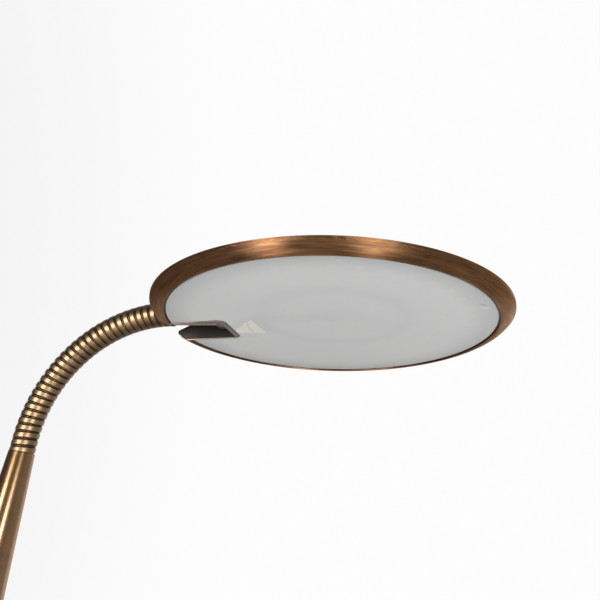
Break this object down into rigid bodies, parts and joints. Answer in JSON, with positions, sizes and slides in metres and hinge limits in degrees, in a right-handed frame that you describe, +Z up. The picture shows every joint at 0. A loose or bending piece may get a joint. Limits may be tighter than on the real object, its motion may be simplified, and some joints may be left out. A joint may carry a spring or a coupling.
{
  "type": "table lamp",
  "caption": "LED table lamp with a weighted round base, conical stem, coiled flexible neck and a tilting slotted disc head with opal diffuser.",
  "frame": {"origin": "middle of the base's underside, on the stem axis", "axes": "+Z up along the stem, +X from the stem to the head"},
  "size_m": [0.3762, 0.2, 0.4181],
  "materials": {
    "bronze_rim": "round-brushed antique bronze finish on steel",
    "bronze_dark": "dark bronze lacquer",
    "bronze_neck": "antique bronze plated wire",
    "bronze_stem": "brushed antique bronze finish on steel",
    "button_bronze": "brushed bronze cap",
    "opal": "satin opal acrylic, unlit",
    "cast_weight": "raw casting",
    "plain_steel": "zinc plated",
    "felt": "black felt",
    "black_plastic": "moulded, black",
    "white_plastic": "moulded, white",
    "bare_aluminium": "rolled sheet",
    "board_white": "white solder mask",
    "led_yellow": "phosphor filled lens",
    "lead_jacket": "smooth jacket"
  },
  "bodies": {
    "stand": {"base_cover": "bronze_stem", "base_weight": "cast_weight", "base_plate": "plain_steel", "base_pad": "felt", "plate_screws": "plain_steel", "base_spacer": "plain_steel", "driver": "white_plastic", "terminal_block": "black_plastic", "cord_gland": "black_plastic", "gland_nut": "black_plastic", "switch_body": "black_plastic", "switch_bezel": "bronze_stem", "switch_spring": "plain_steel", "stem_cone": "bronze_stem", "stem_foot": "plain_steel", "stem_rod": "plain_steel", "rod_washer": "plain_steel", "rod_nut": "plain_steel", "stem_lead": "lead_jacket", "neck_socket": "plain_steel", "neck_coil_00": "bronze_neck", "neck_lead": "lead_jacket"},
    "neck_link_01": {"neck_coil_01": "bronze_neck"},
    "neck_link_02": {"neck_coil_02": "bronze_neck"},
    "neck_link_03": {"neck_coil_03": "bronze_neck"},
    "neck_link_04": {"neck_coil_04": "bronze_neck"},
    "neck_link_05": {"neck_coil_05": "bronze_neck"},
    "neck_link_06": {"neck_coil_06": "bronze_neck"},
    "neck_link_07": {"neck_coil_07": "bronze_neck"},
    "neck_link_08": {"neck_coil_08": "bronze_neck"},
    "neck_link_09": {"neck_coil_09": "bronze_neck"},
    "neck_link_10": {"neck_coil_10": "bronze_neck"},
    "neck_link_11": {"neck_coil_11": "bronze_neck"},
    "neck_link_12": {"neck_coil_12": "bronze_neck"},
    "neck_end": {"neck_coil_13": "bronze_neck", "neck_sleeve": "bronze_stem", "hinge_barrel": "bronze_stem"},
    "head": {"hinge_pin": "plain_steel", "hinge_washers": "plain_steel", "hinge_bracket": "bronze_dark", "bracket_screws": "plain_steel", "slot_liner": "bronze_dark", "rim_ring": "bronze_rim", "top_shell": "bronze_rim", "shell_bosses": "plain_steel", "heat_plate": "bare_aluminium", "led_board": "board_white", "led_chips": "led_yellow", "board_screws": "plain_steel", "lead_seal": "white_plastic", "spacer_ring": "white_plastic", "diffuser": "opal"},
    "button": {"switch_button": "button_bronze"}
  },
  "joints": [
    {"name": "neck_bend_1", "type": "hinge", "parent": "stand", "child": "neck_link_01", "pos_m": [0.00002, 0, 0.31332], "axis": [0, 1, 0], "range_deg": [-12, 5], "deforming": ["neck_lead"]},
    {"name": "neck_sway_1", "type": "hinge", "parent": "neck_link_01", "child": "neck_link_02", "pos_m": [0.00077, 0, 0.32308], "axis": [0.9908, 0, -0.1355], "range_deg": [-8, 8], "deforming": ["neck_lead"]},
    {"name": "neck_bend_2", "type": "hinge", "parent": "neck_link_02", "child": "neck_link_03", "pos_m": [0.00266, 0, 0.33268], "axis": [0, 1, 0], "range_deg": [-12, 5], "deforming": ["neck_lead"]},
    {"name": "neck_sway_2", "type": "hinge", "parent": "neck_link_03", "child": "neck_link_04", "pos_m": [0.00566, 0, 0.34201], "axis": [0.9327, 0, -0.3608], "range_deg": [-8, 8], "deforming": ["neck_lead"]},
    {"name": "neck_bend_3", "type": "hinge", "parent": "neck_link_04", "child": "neck_link_05", "pos_m": [0.00971, 0, 0.35091], "axis": [0, 1, 0], "range_deg": [-12, 5], "deforming": ["neck_lead"]},
    {"name": "neck_sway_3", "type": "hinge", "parent": "neck_link_05", "child": "neck_link_06", "pos_m": [0.01478, 0, 0.35929], "axis": [0.824, 0, -0.5666], "range_deg": [-8, 8], "deforming": ["neck_lead"]},
    {"name": "neck_bend_4", "type": "hinge", "parent": "neck_link_06", "child": "neck_link_07", "pos_m": [0.02079, 0, 0.36702], "axis": [0, 1, 0], "range_deg": [-12, 5], "deforming": ["neck_lead"]},
    {"name": "neck_sway_4", "type": "hinge", "parent": "neck_link_07", "child": "neck_link_08", "pos_m": [0.02765, 0, 0.374], "axis": [0.6708, 0, -0.7417], "range_deg": [-8, 8], "deforming": ["neck_lead"]},
    {"name": "neck_bend_5", "type": "hinge", "parent": "neck_link_08", "child": "neck_link_09", "pos_m": [0.03528, 0, 0.38013], "axis": [0, 1, 0], "range_deg": [-12, 5], "deforming": ["neck_lead"]},
    {"name": "neck_sway_5", "type": "hinge", "parent": "neck_link_09", "child": "neck_link_10", "pos_m": [0.04358, 0, 0.38533], "axis": [0.4812, 0, -0.8766], "range_deg": [-8, 8], "deforming": ["neck_lead"]},
    {"name": "neck_bend_6", "type": "hinge", "parent": "neck_link_10", "child": "neck_link_11", "pos_m": [0.05242, 0, 0.38954], "axis": [0, 1, 0], "range_deg": [-12, 5], "deforming": ["neck_lead"]},
    {"name": "neck_sway_6", "type": "hinge", "parent": "neck_link_11", "child": "neck_link_12", "pos_m": [0.06169, 0, 0.39268], "axis": [0.2656, 0, -0.9641], "range_deg": [-8, 8], "deforming": ["neck_lead"]},
    {"name": "neck_bend_7", "type": "hinge", "parent": "neck_link_12", "child": "neck_end", "pos_m": [0.07126, 0, 0.39473], "axis": [0, 1, 0], "range_deg": [-12, 5], "deforming": ["neck_lead"]},
    {"name": "head_tilt", "type": "hinge", "parent": "neck_end", "child": "head", "pos_m": [0.1067, 0, 0.39742], "axis": [0, -1, 0], "range_deg": [-50, 40]},
    {"name": "switch_press", "type": "slide", "parent": "stand", "child": "button", "axis": [0, 0, -1], "range_m": [0, 0.002], "stiffness_N_per_m": 1200, "springref_m": -0.0005, "deforming": ["switch_spring"]}
  ],
  "couplings": [
    {"joint": "neck_bend_2", "follows": "neck_bend_1", "ratio": 1},
    {"joint": "neck_sway_2", "follows": "neck_sway_1", "ratio": 1},
    {"joint": "neck_bend_3", "follows": "neck_bend_1", "ratio": 1},
    {"joint": "neck_sway_3", "follows": "neck_sway_1", "ratio": 1},
    {"joint": "neck_bend_4", "follows": "neck_bend_1", "ratio": 1},
    {"joint": "neck_sway_4", "follows": "neck_sway_1", "ratio": 1},
    {"joint": "neck_bend_5", "follows": "neck_bend_1", "ratio": 1},
    {"joint": "neck_sway_5", "follows": "neck_sway_1", "ratio": 1},
    {"joint": "neck_bend_6", "follows": "neck_bend_1", "ratio": 1},
    {"joint": "neck_sway_6", "follows": "neck_sway_1", "ratio": 1},
    {"joint": "neck_bend_7", "follows": "neck_bend_1", "ratio": 1}
  ]
}
